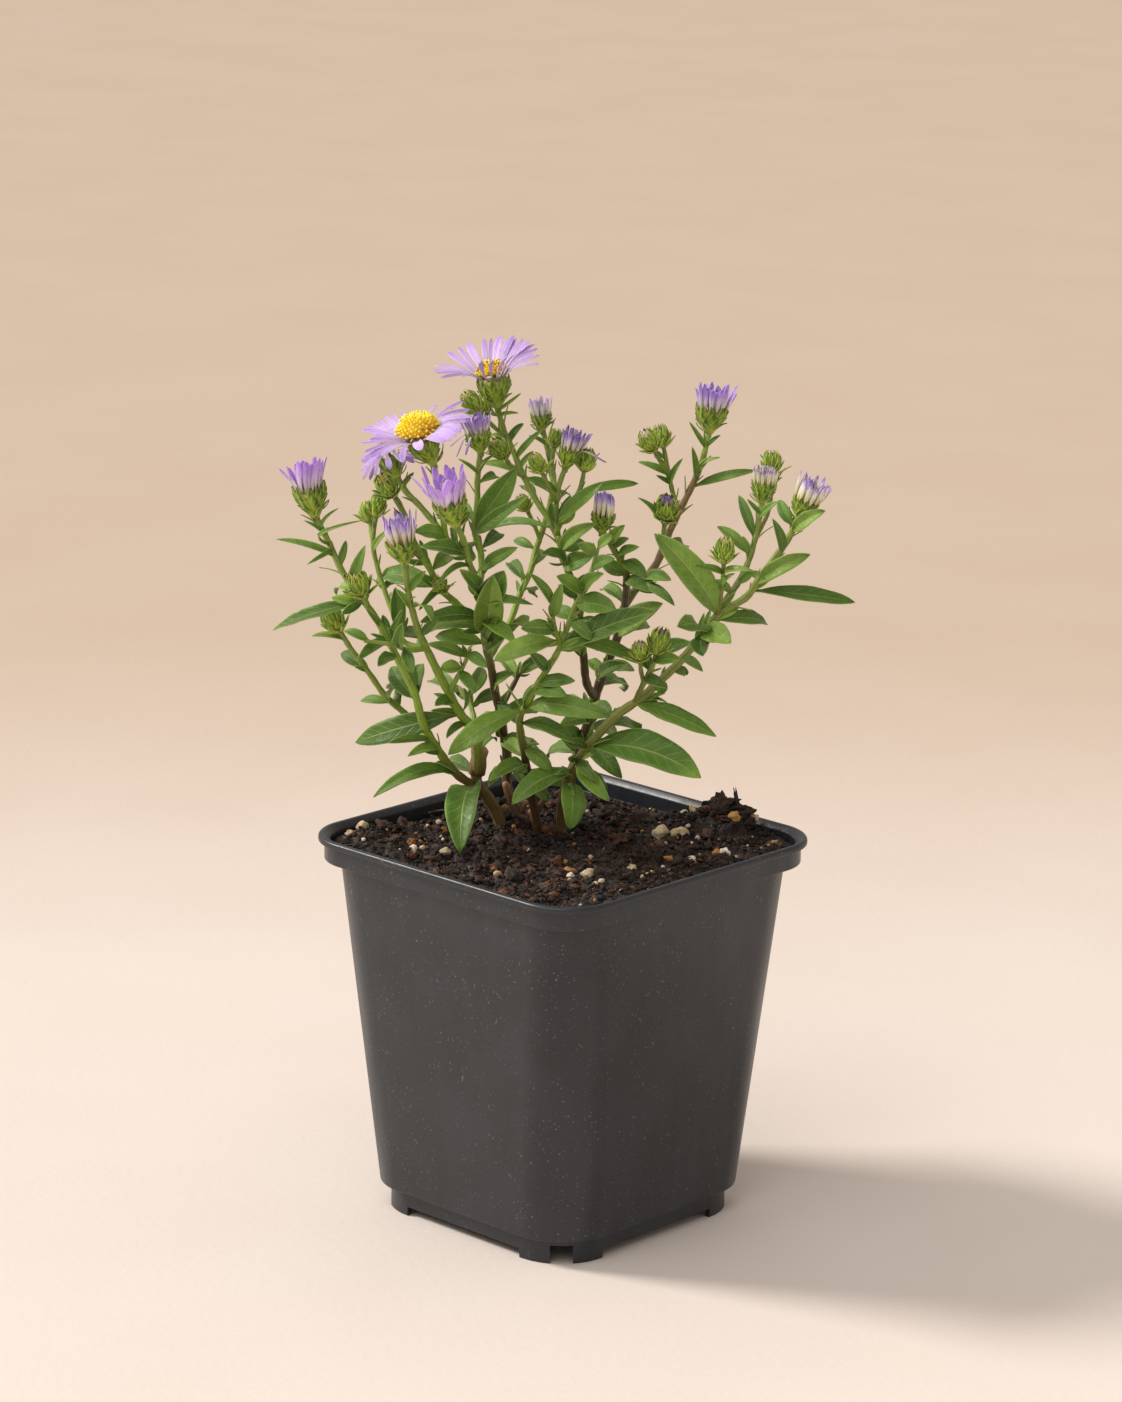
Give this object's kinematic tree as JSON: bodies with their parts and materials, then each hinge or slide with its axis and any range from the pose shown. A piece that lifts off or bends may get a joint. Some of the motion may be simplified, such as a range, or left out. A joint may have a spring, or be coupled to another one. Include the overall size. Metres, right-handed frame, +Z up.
{
  "type": "potted aster",
  "caption": "Leafy aster with open violet flowers, half-open heads and buds on branching stems, growing in soil in a square black nursery pot.",
  "frame": {"origin": "centre of the pot's footprint, on the surface it stands on", "axes": "+Z up; +X and +Y square to the pot's sides, the pictured corner toward +X and -Y"},
  "size_m": [0.1211, 0.1179, 0.2569],
  "materials": {
    "pot_plastic": "satin black moulded plastic with a dusty film",
    "soil": "dark moist peat and bark with pale pumice grains",
    "foliage": "matt green leaf and stem with a soft sheen",
    "rays": "soft satin lavender violet",
    "disc": "matt golden yellow florets"
  },
  "bodies": {
    "root": {"pot": "pot_plastic", "soil": "soil", "leafy_stem_left": "foliage", "leafy_stem_centre_left": "foliage", "leafy_stem_centre": "foliage", "leafy_stem_right": "foliage", "leafy_stem_front_right": "foliage", "rays_top_left": "rays", "disc_top_left": "disc", "rays_open_left": "rays", "disc_open_left": "disc", "rays_faded_left": "rays", "disc_faded_left": "disc", "rays_far_left": "rays", "rays_middle_left": "rays", "rays_small_left": "rays", "rays_ragged": "rays", "rays_pale": "rays", "rays_deep_violet": "rays", "rays_egg": "rays", "rays_top_right": "rays", "rays_right_inner": "rays", "rays_far_right": "rays"}
  },
  "joints": []
}
